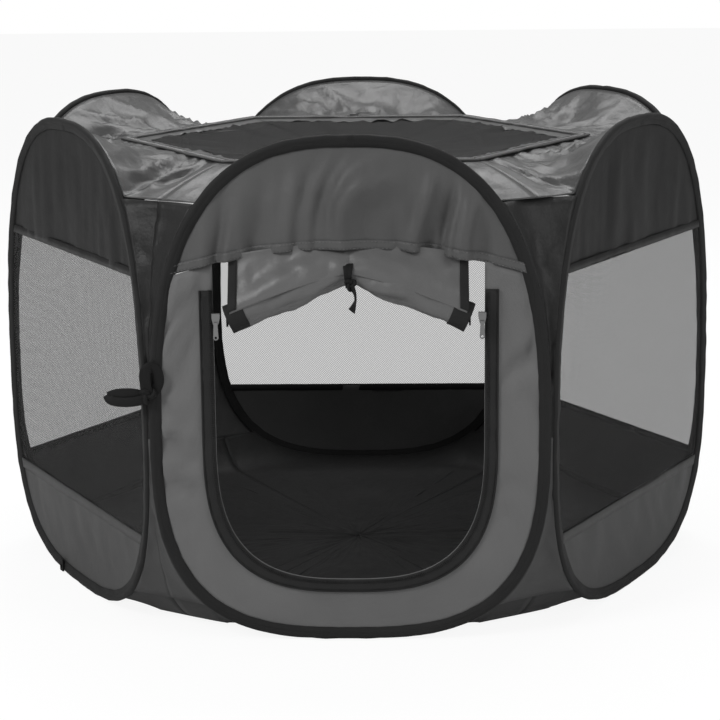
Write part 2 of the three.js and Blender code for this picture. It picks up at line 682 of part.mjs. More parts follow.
piece(front, "closure_strap", closureStrap(), webbing);
for (const name of ["front_left", "back_right"]) {
  const loop = piece(walls[WALLS.indexOf(name)], `stake_loop_${name}`, stakeLoop(), webbing);
  const low = footAt(STAKE_LOOP_ASIDE) + CORNER_GAP;
  loop.position.set(-STAKE_LOOP_ASIDE, -SLEEVE_THICK / 2 - CLEAR, low);
}

export default pen;
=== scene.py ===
# Looks of a six-sided pop-up pet playpen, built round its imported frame. Metres, Z up.
import math

import bpy
from mathutils import Matrix, Vector, noise


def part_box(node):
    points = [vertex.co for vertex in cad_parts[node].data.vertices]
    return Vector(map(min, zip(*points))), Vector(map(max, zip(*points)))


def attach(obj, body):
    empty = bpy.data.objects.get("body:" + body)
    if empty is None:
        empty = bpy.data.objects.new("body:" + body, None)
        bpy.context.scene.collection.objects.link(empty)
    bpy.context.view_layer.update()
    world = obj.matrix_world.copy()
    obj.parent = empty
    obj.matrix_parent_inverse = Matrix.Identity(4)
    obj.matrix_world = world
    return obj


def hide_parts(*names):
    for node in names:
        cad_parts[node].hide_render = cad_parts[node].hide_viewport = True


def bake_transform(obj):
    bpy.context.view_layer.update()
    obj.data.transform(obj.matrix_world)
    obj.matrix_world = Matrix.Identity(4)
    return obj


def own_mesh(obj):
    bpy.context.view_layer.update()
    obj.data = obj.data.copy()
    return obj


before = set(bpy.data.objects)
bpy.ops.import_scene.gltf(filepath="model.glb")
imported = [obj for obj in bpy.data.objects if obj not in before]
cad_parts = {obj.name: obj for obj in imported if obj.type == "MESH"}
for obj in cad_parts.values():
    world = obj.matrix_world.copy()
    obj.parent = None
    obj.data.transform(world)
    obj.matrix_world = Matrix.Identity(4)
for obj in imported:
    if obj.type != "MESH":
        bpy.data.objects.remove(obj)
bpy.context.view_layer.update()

WALLS = ["front", "front_right", "back_right", "back", "back_left", "front_left"]
SIDES = len(WALLS)
TURN = 2 * math.pi / SIDES

# ---- sizes read from the frame ----
sleeve_low, sleeve_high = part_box("front_sleeve")
HALF = sleeve_high.x                                # half the hoop's width
HEIGHT = sleeve_high.z
APOTHEM = -(sleeve_low.y + sleeve_high.y) / 2       # from the middle to a wall's plane
WINDOW_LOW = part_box("back_mesh_window")[0].z
WINDOW_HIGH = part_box("back_mesh_window")[1].z
ZIP_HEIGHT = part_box("lid_border")[1].z
ZIP_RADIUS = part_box("lid_border")[1].x + 0.001
LID_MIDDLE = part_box("lid_mesh")[0].z + 0.0012
DOOR_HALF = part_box("door_zip_tape")[1].x - 0.015
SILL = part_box("door_zip_tape")[0].z + 0.015
ROLL_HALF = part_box("door_roll")[1].x - 0.004
HEM_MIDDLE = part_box("front_header")[0].z + 0.039

# ---- shape of a hoop ----
WIDEST = 0.41 * HEIGHT
CROWN_POWER = 2.6
FOOT_POWER = 2.9
SLEEVE = 0.0145                                     # width of a sleeve in its wall's plane
ROOF_CORNER = 0.523                                 # height at which the roof leaves a hoop
FLOOR_CORNER = 0.047                                # height at which the floor leaves a hoop


def half_width(z):
    power, rise = (CROWN_POWER, HEIGHT - WIDEST) if z > WIDEST else (FOOT_POWER, WIDEST)
    share = min(abs(z - WIDEST) / rise, 1)
    return HALF * (1 - share ** power) ** (1 / power)


def crown(x):
    share = min(abs(x) / HALF, 1)
    return WIDEST + (HEIGHT - WIDEST) * (1 - share ** CROWN_POWER) ** (1 / CROWN_POWER)


def foot(x):
    share = min(abs(x) / HALF, 1)
    return WIDEST - WIDEST * (1 - share ** FOOT_POWER) ** (1 / FOOT_POWER)


def outline(steps):
    """Evenly spaced points round a hoop, each with its inward normal and its length along the hoop."""
    fine = []
    count = 4000
    for i in range(count + 1):
        angle = math.pi / 2 + 2 * math.pi * i / count
        c, s = math.cos(angle), math.sin(angle)
        power = 2 / (CROWN_POWER if s >= 0 else FOOT_POWER)
        rise = HEIGHT - WIDEST if s >= 0 else WIDEST
        fine.append(Vector((HALF * math.copysign(abs(c) ** power, c),
                            WIDEST + rise * math.copysign(abs(s) ** power, s))))
    lengths = [0.0]
    for a, b in zip(fine, fine[1:]):
        lengths.append(lengths[-1] + (b - a).length)
    points, at = [], 0
    for i in range(steps):
        goal = lengths[-1] * i / steps
        while lengths[at + 1] < goal:
            at += 1
        share = (goal - lengths[at]) / max(lengths[at + 1] - lengths[at], 1e-9)
        points.append(fine[at].lerp(fine[at + 1], share))
    result = []
    for i, p in enumerate(points):
        along = points[(i + 1) % steps] - points[i - 1]
        normal = Vector((-along.y, along.x)).normalized()
        result.append((p, normal, lengths[-1] * i / steps))
    return result


def on_wall(wall, x, depth, z):
    """A point in the pen's frame, from one on a wall: x across, depth inward, z up."""
    return Matrix.Rotation(wall * TURN, 3, "Z") @ Vector((x, depth - APOTHEM, z))


def inward(wall):
    return Matrix.Rotation(wall * TURN, 3, "Z") @ Vector((0, 1, 0))


def ripple(x, y, seed=0.0):
    """Smooth noise from -1 to 1."""
    return 2 * noise.noise(Vector((x, y, seed * 7.31)))


def ease(a, b, t):
    """0 below a, 1 above b and smooth between."""
    t = min(max((t - a) / (b - a), 0), 1)
    return t * t * (3 - 2 * t)


# ---- meshes ----
def add_object(name, vertices, faces, uvs, material, body, replaced=()):
    data = bpy.data.meshes.new(name)
    data.from_pydata([tuple(v) for v in vertices], [], faces)
    layer = data.uv_layers.new(name="UVMap")
    for loop in data.loops:
        layer.data[loop.index].uv = uvs[loop.vertex_index]
    data.polygons.foreach_set("use_smooth", [True] * len(data.polygons))
    data.materials.append(material)
    data.validate()
    made = bpy.data.objects.new(name, data)
    bpy.context.scene.collection.objects.link(made)
    if replaced:
        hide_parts(*replaced)
    if body:
        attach(made, body)
    return made


def grid_normals(grid, closed_columns=False):
    rows, columns = len(grid), len(grid[0])
    normals = []
    for i in range(rows):
        line = []
        for j in range(columns):
            a = grid[min(i + 1, rows - 1)][j] - grid[max(i - 1, 0)][j]
            if closed_columns:
                b = grid[i][(j + 1) % columns] - grid[i][j - 1]
            else:
                b = grid[i][min(j + 1, columns - 1)] - grid[i][max(j - 1, 0)]
            n = a.cross(b)
            line.append(n.normalized() if n.length > 1e-12 else Vector((0, 0, 0)))
        normals.append(line)
    return normals


def add_sheet(name, grid, thickness, material, body, replaced=(), two_sided=True):
    """A piece of cloth with a thickness, from rows of points down its middle."""
    rows, columns = len(grid), len(grid[0])
    normals = grid_normals(grid)
    across = [[0.0] * columns for _ in range(rows)]
    down = [[0.0] * columns for _ in range(rows)]
    for i in range(rows):
        for j in range(1, columns):
            across[i][j] = across[i][j - 1] + (grid[i][j] - grid[i][j - 1]).length
        middle = across[i][-1] / 2
        across[i] = [a - middle for a in across[i]]
    for j in range(columns):
        for i in range(1, rows):
            down[i][j] = down[i - 1][j] + (grid[i][j] - grid[i - 1][j]).length
    vertices, uvs, faces = [], [], []
    for side in (0.5, -0.5):
        for i in range(rows):
            for j in range(columns):
                vertices.append(grid[i][j] + normals[i][j] * thickness * side)
                uvs.append((across[i][j], down[i][j]))
    count = rows * columns
    for i in range(rows - 1):
        for j in range(columns - 1):
            a, b = i * columns + j, i * columns + j + 1
            c, d = a + columns, b + columns
            faces.append((a, c, d, b))
            faces.append((a + count, b + count, d + count, c + count))
    for i in range(rows - 1):
        for j, turn in ((0, False), (columns - 1, True)):
            a, c = i * columns + j, (i + 1) * columns + j
            quad = (a, a + count, c + count, c)
            faces.append(quad[::-1] if turn else quad)
    for j in range(columns - 1):
        for i, turn in ((0, True), (rows - 1, False)):
            a, b = i * columns + j, i * columns + j + 1
            quad = (a, a + count, b + count, b)
            faces.append(quad[::-1] if turn else quad)
    return add_object(name, vertices, faces, uvs, material, body, replaced)


def add_tube(name, rings, material, body, replaced=(), closed=False):
    """A tube through rings of points. An open one is closed by a cap at each end."""
    rows, columns = len(rings), len(rings[0])
    vertices, uvs, faces = [], [], []
    along = 0.0
    for i, ring in enumerate(rings):
        if i:
            along += (ring[0] - rings[i - 1][0]).length
        around = 0.0
        for j, p in enumerate(ring):
            if j:
                around += (p - ring[j - 1]).length
            vertices.append(p)
            uvs.append((along, around))
    for i in range(rows if closed else rows - 1):
        for j in range(columns):
            a, b = i * columns + j, i * columns + (j + 1) % columns
            c, d = ((i + 1) % rows) * columns + j, ((i + 1) % rows) * columns + (j + 1) % columns
            faces.append((a, b, d, c))
    if not closed:
        faces.append(tuple(range(columns))[::-1])
        faces.append(tuple((rows - 1) * columns + j for j in range(columns)))
    return add_object(name, vertices, faces, uvs, material, body, replaced)


# ---- materials ----
def new_material(name):
    material = bpy.data.materials.new(name)
    material.use_nodes = True
    nodes, links = material.node_tree.nodes, material.node_tree.links
    return material, nodes, links, nodes["Principled BSDF"]


def wave(nodes, links, source, scale, direction):
    made = nodes.new("ShaderNodeTexWave")
    made.wave_type = "BANDS"
    made.bands_direction = direction
    made.inputs["Scale"].default_value = scale
    links.new(source, made.inputs["Vector"])
    return made.outputs["Fac"]


def math_node(nodes, links, operation, a, b=None):
    made = nodes.new("ShaderNodeMath")
    made.operation = operation
    for value, socket in ((a, made.inputs[0]), (b, made.inputs[1])):
        if value is None:
            continue
        if isinstance(value, (int, float)):
            socket.default_value = value
        else:
            links.new(value, socket)
    return made.outputs[0]


WAVE_PERIOD = 0.3142        # length of one band of a wave texture at scale 1


def cloth(name, color, roughness, weave=0.0007, weave_bump=0.25, crease=0.0006, spread=0.12,
          sheen=0.03):
    """Woven cloth: threads both ways, faint creases and uneven colour."""
    material, nodes, links, shader = new_material(name)
    uv = nodes.new("ShaderNodeTexCoord").outputs["UV"]
    warp = wave(nodes, links, uv, WAVE_PERIOD / weave, "X")
    weft = wave(nodes, links, uv, WAVE_PERIOD / weave, "Y")
    threads = math_node(nodes, links, "MULTIPLY", warp, weft)
    creases = nodes.new("ShaderNodeTexNoise")
    creases.inputs["Scale"].default_value = 38
    creases.inputs["Detail"].default_value = 6
    links.new(uv, creases.inputs["Vector"])
    patches = nodes.new("ShaderNodeTexNoise")
    patches.inputs["Scale"].default_value = 9
    patches.inputs["Detail"].default_value = 3
    links.new(uv, patches.inputs["Vector"])
    ramp = nodes.new("ShaderNodeValToRGB")
    ramp.color_ramp.elements[0].position = 0.3
    ramp.color_ramp.elements[1].position = 0.7
    ramp.color_ramp.elements[0].color = [c * (1 - spread) for c in color] + [1]
    ramp.color_ramp.elements[1].color = [c * (1 + spread) for c in color] + [1]
    links.new(patches.outputs["Fac"], ramp.inputs["Fac"])
    shade = nodes.new("ShaderNodeMix")
    shade.data_type = "RGBA"
    shade.blend_type = "MULTIPLY"
    shade.inputs["Factor"].default_value = 0.35
    links.new(ramp.outputs["Color"], shade.inputs["A"])
    links.new(threads, shade.inputs["B"])
    links.new(shade.outputs["Result"], shader.inputs["Base Color"])
    bump = nodes.new("ShaderNodeBump")
    bump.inputs["Strength"].default_value = weave_bump
    bump.inputs["Distance"].default_value = 0.0002
    links.new(threads, bump.inputs["Height"])
    wrinkle = nodes.new("ShaderNodeBump")
    wrinkle.inputs["Strength"].default_value = 0.6
    wrinkle.inputs["Distance"].default_value = crease * 4
    links.new(creases.outputs["Fac"], wrinkle.inputs["Height"])
    links.new(bump.outputs["Normal"], wrinkle.inputs["Normal"])
    links.new(wrinkle.outputs["Normal"], shader.inputs["Normal"])
    gloss = nodes.new("ShaderNodeMapRange")
    gloss.inputs["To Min"].default_value = roughness - 0.07
    gloss.inputs["To Max"].default_value = roughness + 0.07
    links.new(creases.outputs["Fac"], gloss.inputs["Value"])
    links.new(gloss.outputs["Result"], shader.inputs["Roughness"])
    shader.inputs["Sheen Weight"].default_value = sheen
    shader.inputs["Sheen Roughness"].default_value = 0.5
    shader.inputs["Specular IOR Level"].default_value = 0.5 if roughness < 0.45 else 0.25
    return material


def knitted_mesh(name, color, period, least, most):
    """Open mesh: crossed threads, with clear holes between them."""
    material, nodes, links, shader = new_material(name)
    uv = nodes.new("ShaderNodeTexCoord").outputs["UV"]
    turn = nodes.new("ShaderNodeMapping")
    turn.inputs["Rotation"].default_value = (0, 0, math.radians(52))
    links.new(uv, turn.inputs["Vector"])
    one = wave(nodes, links, turn.outputs["Vector"], WAVE_PERIOD / period, "X")
    two = wave(nodes, links, turn.outputs["Vector"], WAVE_PERIOD / period, "Y")
    threads = math_node(nodes, links, "MAXIMUM", one, two)
    cover = nodes.new("ShaderNodeMapRange")
    cover.inputs["From Min"].default_value = 0.55
    cover.inputs["From Max"].default_value = 0.95
    cover.inputs["To Min"].default_value = least
    cover.inputs["To Max"].default_value = most
    links.new(threads, cover.inputs["Value"])
    shader.inputs["Base Color"].default_value = (*color, 1)
    shader.inputs["Roughness"].default_value = 0.8
    clear = nodes.new("ShaderNodeBsdfTransparent")
    mix = nodes.new("ShaderNodeMixShader")
    links.new(cover.outputs["Result"], mix.inputs["Fac"])
    links.new(clear.outputs["BSDF"], mix.inputs[1])
    links.new(shader.outputs["BSDF"], mix.inputs[2])
    output = next(n for n in nodes if n.type == "OUTPUT_MATERIAL")
    links.new(mix.outputs["Shader"], output.inputs["Surface"])
    return material


def metal(name, color, roughness):
    material, nodes, links, shader = new_material(name)
    spots = nodes.new("ShaderNodeTexNoise")
    spots.inputs["Scale"].default_value = 900
    place = nodes.new("ShaderNodeTexCoord").outputs["Object"]
    links.new(place, spots.inputs["Vector"])
    gloss = nodes.new("ShaderNodeMapRange")
    gloss.inputs["To Min"].default_value = roughness - 0.1
    gloss.inputs["To Max"].default_value = roughness + 0.12
    links.new(spots.outputs["Fac"], gloss.inputs["Value"])
    links.new(gloss.outputs["Result"], shader.inputs["Roughness"])
    bump = nodes.new("ShaderNodeBump")
    bump.inputs["Distance"].default_value = 0.00005
    links.new(spots.outputs["Fac"], bump.inputs["Height"])
    links.new(bump.outputs["Normal"], shader.inputs["Normal"])
    shader.inputs["Base Color"].default_value = (*color, 1)
    shader.inputs["Metallic"].default_value = 1.0
    return material


def grey(value, warm=0.0):
    """A linear colour from a display grey."""
    linear = value ** 2.2
    return (linear * (1 + warm), linear, linear * (1 - warm))


BINDING = cloth("binding_tape", grey(0.16), 0.75, weave=0.0012, weave_bump=0.5, spread=0.1)
UPPER = cloth("upper_wall_cloth", grey(0.05), 0.5, crease=0.0003, spread=0.06)
LOWER = cloth("lower_wall_cloth", grey(0.32), 0.6, crease=0.0004, spread=0.05)
FRONT = cloth("front_cloth", grey(0.46), 0.55, crease=0.0004, spread=0.05)
FLAP = cloth("flap_cloth", grey(0.42), 0.4, crease=0.0006, spread=0.08)
HEADER = cloth("header_cloth", grey(0.37), 0.5, crease=0.0005, spread=0.08)
ROOF = cloth("roof_cloth", grey(0.29), 0.34, crease=0.0008, spread=0.08)
GUSSET = cloth("gusset_cloth", grey(0.17), 0.45, crease=0.0012, spread=0.15)
FLOOR = cloth("floor_cloth", grey(0.24), 0.5, crease=0.0006, spread=0.08)
TAPE = cloth("zip_tape_cloth", grey(0.18), 0.7, weave=0.0010, weave_bump=0.6, spread=0.06)
PIPING = cloth("zip_piping", grey(0.38), 0.45, weave=0.0010, weave_bump=0.4, spread=0.06)
WEBBING = cloth("webbing", grey(0.09), 0.7, weave=0.0018, weave_bump=0.8, spread=0.08)
MESH = knitted_mesh("knitted_mesh", grey(0.2), 0.0026, 0.18, 0.40)
LID_NET = knitted_mesh("lid_net", grey(0.08), 0.0022, 0.5, 0.75)
STEEL = metal("spring_steel", grey(0.6), 0.35)
ZIP_METAL = metal("zip_metal", grey(0.55), 0.35)
THREAD = cloth("seam_thread", grey(0.5), 0.7, weave=0.0009)

# ---- camera, light and ground ----
CAMERA_DISTANCE = 2.713      # from the pen's middle
CAMERA_HEIGHT = 0.848
CAMERA_ASIDE = 0.004
CAMERA_PITCH = 0.2171
CAMERA_YAW = -0.0204
CAMERA_ROLL = -0.0097
CAMERA_LENS = 102.285        # millimetres, on a sensor 36 mm wide
SENSOR = 36

camera = bpy.data.objects.new("camera", bpy.data.cameras.new("camera"))
camera.data.sensor_width = SENSOR
camera.data.lens = CAMERA_LENS
look = Matrix.Rotation(-CAMERA_YAW, 3, "Z")
camera.location = look @ Vector((CAMERA_ASIDE, -CAMERA_DISTANCE, CAMERA_HEIGHT))
pitched = Matrix.Rotation(math.pi / 2 - CAMERA_PITCH, 4, "X")
turned = look.to_4x4() @ pitched @ Matrix.Rotation(CAMERA_ROLL, 4, "Z")
camera.rotation_euler = turned.to_euler()
bpy.context.scene.collection.objects.link(camera)
bpy.context.scene.camera = camera
bpy.context.scene.view_settings.view_transform = "Standard"


def area_light(name, place, aim, size, power):
    light = bpy.data.lights.new(name, "AREA")
    light.shape = "RECTANGLE"
    light.size, light.size_y = size
    light.energy = power
    made = bpy.data.objects.new(name, light)
    made.location = place
    made.rotation_euler = (Vector(aim) - Vector(place)).to_track_quat("-Z", "Y").to_euler()
    bpy.context.scene.collection.objects.link(made)


area_light("key", (-2.0, -2.0, 2.2), (0, 0, 0.35), (1.0, 1.0), 50)
area_light("fill", (2.4, -1.6, 1.4), (0, 0, 0.3), (1.4, 1.4), 20)
area_light("top", (0.2, 1.2, 2.8), (0, 0, 0.4), (2.2, 1.6), 46)

world = bpy.data.worlds.new("world")
bpy.context.scene.world = world
world.use_nodes = True
backdrop = world.node_tree.nodes["Background"]
path = world.node_tree.nodes.new("ShaderNodeLightPath")
strength = world.node_tree.nodes.new("ShaderNodeMapRange")
strength.inputs["To Min"].default_value = 0.38
strength.inputs["To Max"].default_value = 1.0
seen = world.node_tree.nodes.new("ShaderNodeMath")
seen.operation = "ADD"
seen.use_clamp = True
world.node_tree.links.new(path.outputs["Is Camera Ray"], seen.inputs[0])
world.node_tree.links.new(path.outputs["Is Transmission Ray"], seen.inputs[1])
world.node_tree.links.new(seen.outputs[0], strength.inputs["Value"])
world.node_tree.links.new(strength.outputs["Result"], backdrop.inputs["Strength"])
backdrop.inputs["Color"].default_value = (1, 1, 1, 1)

ground_data = bpy.data.meshes.new("ground")
REACH = 12
corners = [(x * REACH, y * REACH, 0) for x, y in ((-1, -1), (1, -1), (1, 1), (-1, 1))]
ground_data.from_pydata(corners, [], [(0, 1, 2, 3)])
ground = bpy.data.objects.new("ground", ground_data)
bpy.context.scene.collection.objects.link(ground)
ground.location.z = -0.0006
ground_material, nodes, links, shader = new_material("ground")
shader.inputs["Base Color"].default_value = (0.8, 0.8, 0.8, 1)
shader.inputs["Roughness"].default_value = 1
glow = nodes.new("ShaderNodeEmission")
glow.inputs["Strength"].default_value = 1.05
lit = nodes.new("ShaderNodeLightPath")
blend_in = nodes.new("ShaderNodeMixShader")
both = nodes.new("ShaderNodeMath")
both.operation = "ADD"
both.use_clamp = True
links.new(lit.outputs["Is Camera Ray"], both.inputs[0])
links.new(lit.outputs["Is Transmission Ray"], both.inputs[1])
scaled = nodes.new("ShaderNodeMath")
scaled.operation = "MULTIPLY"
scaled.inputs[1].default_value = 0.86
links.new(both.outputs[0], scaled.inputs[0])
links.new(scaled.outputs[0], blend_in.inputs["Fac"])
links.new(shader.outputs["BSDF"], blend_in.inputs[1])
links.new(glow.outputs["Emission"], blend_in.inputs[2])
ground_output = next(n for n in nodes if n.type == "OUTPUT_MATERIAL")
links.new(blend_in.outputs["Shader"], ground_output.inputs["Surface"])
ground_data.materials.append(ground_material)

# ---- hoops and sleeves ----
for node in [f"{wall}_hoop" for wall in WALLS]:
    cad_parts[node].data.materials.clear()
    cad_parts[node].data.materials.append(STEEL)

STATIONS = outline(220)


def sleeve(wall):
    """Binding folded round the wire: a round bead at the edge, then two flat lips."""
    bead = 0.0040
    section = []
    for i in range(9):
        angle = math.radians(-120 + 30 * i)
        section.append((0.0042 - bead * math.cos(angle), bead * math.sin(angle)))
    lips = [(SLEEVE * 0.62, 0.0024), (SLEEVE, 0.0019), (SLEEVE, -0.0019), (SLEEVE * 0.62, -0.0024)]
    rings = []
    for point, normal, length in STATIONS:
        ring = []
        for inset, depth in section + lips:
            inset += 0.0004 * ripple(length * 60, inset * 200, wall)
            side = math.copysign(0.0005, depth) * ripple(length * 45, inset * 90, wall + 9)
            at = point + normal * inset
            ring.append(on_wall(wall, at.x, depth + side, at.y))
        rings.append(ring)
    return add_tube(f"{WALLS[wall]}_binding", rings, BINDING, WALLS[wall],
                    [f"{WALLS[wall]}_sleeve"], closed=True)


for wall in range(SIDES):
    made = sleeve(wall)

# ---- walls ----
TUCK = 0.011                 # how far inside a hoop's outer edge the wall's cloth is drawn to
SKIN = 0.0009


def column_grid(wall, reach, low, high, depth, columns, rows):
    grid = []
    for i in range(rows + 1):
        line = []
        for j in range(columns + 1):
            x = reach * math.sin(math.pi / 2 * (2 * j / columns - 1))
            z = low(x) + (high(x) - low(x)) * i / rows
            line.append(on_wall(wall, x, depth(x, z), z))
        grid.append(line)
    return grid


def row_grid(wall, low, high, depth, columns, rows):
    grid = []
    for i in range(rows + 1):
        z = low + (high - low) * i / rows
        reach = half_width(z) - TUCK
        across = [reach * (2 * j / columns - 1) for j in range(columns + 1)]
        grid.append([on_wall(wall, x, depth(x, z), z) for x in across])
    return grid


def edge_fade(x, z):
    """0 at the hoop and 1 well inside it."""
    gap = min(half_width(z) - abs(x), crown(x) - z, z - foot(x)) - TUCK
    return ease(0, 0.05, gap)


def hem_strip(name, wall, z, height, depth, material, body=None):
    reach = half_width(z) - TUCK
    grid = []
    for i in range(3):
        at = z + height * (i / 2 - 0.5)
        line = []
        for j in range(61):
            x = reach * (2 * j / 60 - 1)
            line.append(on_wall(wall, x, depth + 0.0003 * ripple(x * 60, at * 20, wall), at))
        grid.append(line)
    made = add_sheet(name, grid, 0.0012, material, body or WALLS[wall])
    return made


for wall in range(1, SIDES):
    name = WALLS[wall]
    top_reach = half_width(WINDOW_HIGH) - TUCK

    def upper_depth(x, z):
        folds = 0.0016 * ripple(x * 30, z * 5, wall) + 0.0005 * ripple(x * 90, z * 9, wall + 3)
        return edge_fade(x, z) * folds

    grid = column_grid(wall, top_reach, lambda x: WINDOW_HIGH, lambda x: max(crown(x) - TUCK, WINDOW_HIGH + 0.0002),
                       upper_depth, 72, 26)
    made = add_sheet(f"{name}_wall_upper", grid, SKIN, UPPER, name, [f"{name}_upper_wall"])

    def window_depth(x, z):
        return edge_fade(x, z) * 0.0018 * ripple(x * 9, z * 9, wall)

    grid = row_grid(wall, WINDOW_LOW, WINDOW_HIGH, window_depth, 40, 30)
    made = add_sheet(f"{name}_wall_window", grid, 0.0004, MESH, name, [f"{name}_mesh_window"])

    def lower_depth(x, z):
        folds = 0.0016 * ripple(x * 22, z * 10, wall + 5) + 0.0008 * ripple(x * 60 + z * 40, z * 20, wall)
        return edge_fade(x, z) * folds

    low_reach = half_width(WINDOW_LOW) - TUCK
    grid = column_grid(wall, low_reach, lambda x: min(foot(x) + TUCK, WINDOW_LOW - 0.0002), lambda x: WINDOW_LOW,
                       lower_depth, 72, 20)
    made = add_sheet(f"{name}_wall_lower", grid, SKIN, LOWER, name, [f"{name}_lower_wall"])

    hem_strip(f"{name}_hem_top", wall, WINDOW_HIGH + 0.003, 0.010, -0.0012, UPPER)
    hem_strip(f"{name}_hem_low_outside", wall, WINDOW_LOW - 0.005, 0.012, -0.0012, LOWER)
    hem_strip(f"{name}_hem_low_inside", wall, WINDOW_LOW - 0.003, 0.010, 0.0014, BINDING)
    hem_strip(f"{name}_hem_top_inside", wall, WINDOW_HIGH + 0.003, 0.010, 0.0014, BINDING)

# ---- front wall ----
HEM_DROP = 0.039


def hem_height(x):
    return HEM_MIDDLE - HEM_DROP * (x / HALF) ** 2


def header_depth(x, z):
    """Gathered cloth: long folds fan out from the crown to the hem."""
    fan = x / (0.50 + 0.5 * (z - HEM_MIDDLE + 0.05))
    bent = fan * 15 + 1.2 * ripple(x * 8, z * 6, 2)
    long = ripple(bent, z * 2.2, 1) + 0.5 * ripple(bent * 2.3, z * 4, 5)
    short = ripple(x * 75, z * 16, 4)
    puckers = ripple(x * 130, 0, 6) * ease(0.03, 0.0, z - hem_height(x)) if z > hem_height(x) else 0
    slack = 0.45 + 0.9 * abs(ripple(x * 7, z * 5, 8))
    return edge_fade(x, z) * (0.0105 * long * slack + 0.0012 * short + 0.0006 * puckers - 0.006)


reach = half_width(hem_height(HALF)) - TUCK
grid = column_grid(0, reach, lambda x: hem_height(x) - 0.004, lambda x: max(crown(x) - TUCK, hem_height(x) + 0.0002),
                   header_depth, 150, 60)
made = add_sheet("header_panel", grid, SKIN, HEADER, "front", ["front_header"])


def front_strip(name, low, high, reach, depth, thickness, material, wrinkle=0.0006, columns=140, rows=3):
    grid = []
    for i in range(rows + 1):
        line = []
        for j in range(columns + 1):
            x = reach * (2 * j / columns - 1)
            z = low(x) + (high(x) - low(x)) * i / rows
            base = header_depth(x, hem_height(x) + 0.002)
            line.append(on_wall(0, x, base + depth + wrinkle * ripple(x * 70, z * 30, 3), z))
        grid.append(line)
    return add_sheet(name, grid, thickness, material, "front")


made = front_strip("header_hem", lambda x: hem_height(x) - 0.0055, lambda x: hem_height(x) + 0.0055, reach, -0.0012,
                   0.0016, HEADER)


def stitch_row(name, points, normal, body, long=0.0026, gap=0.0016, wide=0.0006):
    """A row of short raised threads along a line of points."""
    vertices, faces, uvs = [], [], []
    period = long + gap
    lengths = [0.0]
    for a, b in zip(points, points[1:]):
        lengths.append(lengths[-1] + (b - a).length)
    count = int(lengths[-1] / period)
    at = 0
    for k in range(count):
        ends = []
        for s in (k * period, k * period + long):
            while lengths[at + 1] < s and at < len(lengths) - 2:
                at += 1
            share = (s - lengths[at]) / max(lengths[at + 1] - lengths[at], 1e-9)
            ends.append(points[at].lerp(points[at + 1], share))
        at = max(at - 1, 0)
        along = (ends[1] - ends[0]).normalized()
        side = along.cross(normal).normalized() * wide / 2
        up = normal * wide * 0.6
        base = len(vertices)
        for p in ends:
            vertices += [p - side, p + up, p + side, p - up * 0.3]
            uvs += [(k * period, 0), (k * period, wide), (k * period, 2 * wide), (k * period, 0)]
        for j in range(4):
            n = (j + 1) % 4
            faces.append((base + j, base + n, base + 4 + n, base + 4 + j))
        faces.append((base + 3, base + 2, base + 1, base))
        faces.append((base + 4, base + 5, base + 6, base + 7))
    return add_object(name, vertices, faces, uvs, THREAD, body)


for label, rise in (("upper", 0.0038), ("lower", -0.0038)):
    line = []
    for j in range(141):
        x = reach * (2 * j / 140 - 1)
        line.append(on_wall(0, x, header_depth(x, hem_height(x) + 0.002) - 0.0024, hem_height(x) + rise))
    stitch_row(f"header_stitches_{label}", line, -inward(0), "front")


def door_edge(angle, grow):
    """A point (x, z) on the lower half of the doorway's edge, which is let out by grow."""
    c, s = math.cos(angle), math.sin(angle)
    power = 2 / FOOT_POWER
    x = (DOOR_HALF + grow) * math.copysign(abs(c) ** power, c)
    return Vector((x, WIDEST - (WIDEST - SILL + grow) * abs(s) ** power))


def hoop_edge(angle):
    c, s = math.cos(angle), math.sin(angle)
    power = 2 / FOOT_POWER
    x = (HALF - TUCK) * math.copysign(abs(c) ** power, c)
    return Vector((x, WIDEST - (WIDEST - TUCK) * abs(s) ** power))


def door_path(grow, top, steps=80, straight=24):
    """Points (x, z) down the doorway's left side, round its foot and up its right side."""
    points = [Vector((-(DOOR_HALF + grow), top + (WIDEST - top) * i / straight)) for i in range(straight)]
    points += [door_edge(math.pi + math.pi * i / steps, grow) for i in range(steps + 1)]
    points += [Vector((DOOR_HALF + grow, WIDEST + (top - WIDEST) * (i + 1) / straight)) for i in range(straight)]
    return points


def pucker(x, z, outer):
    """Horizontal tension folds on the side strips, strongest at the hoop."""
    side = ease(0.13, 0.17, abs(x)) * ease(0.10, 0.22, z)
    lines = ripple(z * 42 + 1.2 * ripple(x * 20, z * 8, 6), x * 8, 2 if x < 0 else 5)
    foot_lines = (1 - side) * ripple(x * 28, z * 12, 7)
    return (0.0052 * lines * side + 0.0018 * foot_lines) * outer


steps, straight, rows = 80, 24, 14
inner = door_path(0.0, hem_height(DOOR_HALF) - 0.004)
outer = []
for i in range(straight):
    z = hem_height(HALF * 0.9) - 0.004
    z = z + (WIDEST - z) * i / straight
    outer.append(Vector((-(half_width(z) - TUCK), z)))
outer += [hoop_edge(math.pi + math.pi * i / steps) for i in range(steps + 1)]
outer += [Vector((-p.x, p.y)) for p in reversed(outer[:straight])]
grid = []
for i in range(rows + 1):
    share = i / rows
    line = []
    for a, b in zip(inner, outer):
        p = a.lerp(b, share)
        loose = ease(0.2, 0.5, share) * (1 - ease(0.85, 1, share))
        line.append(on_wall(0, p.x, pucker(p.x, p.y, loose), p.y))
    grid.append(line)
made = add_sheet("door_surround_panel", grid, SKIN, FRONT, "front", ["door_surround"])

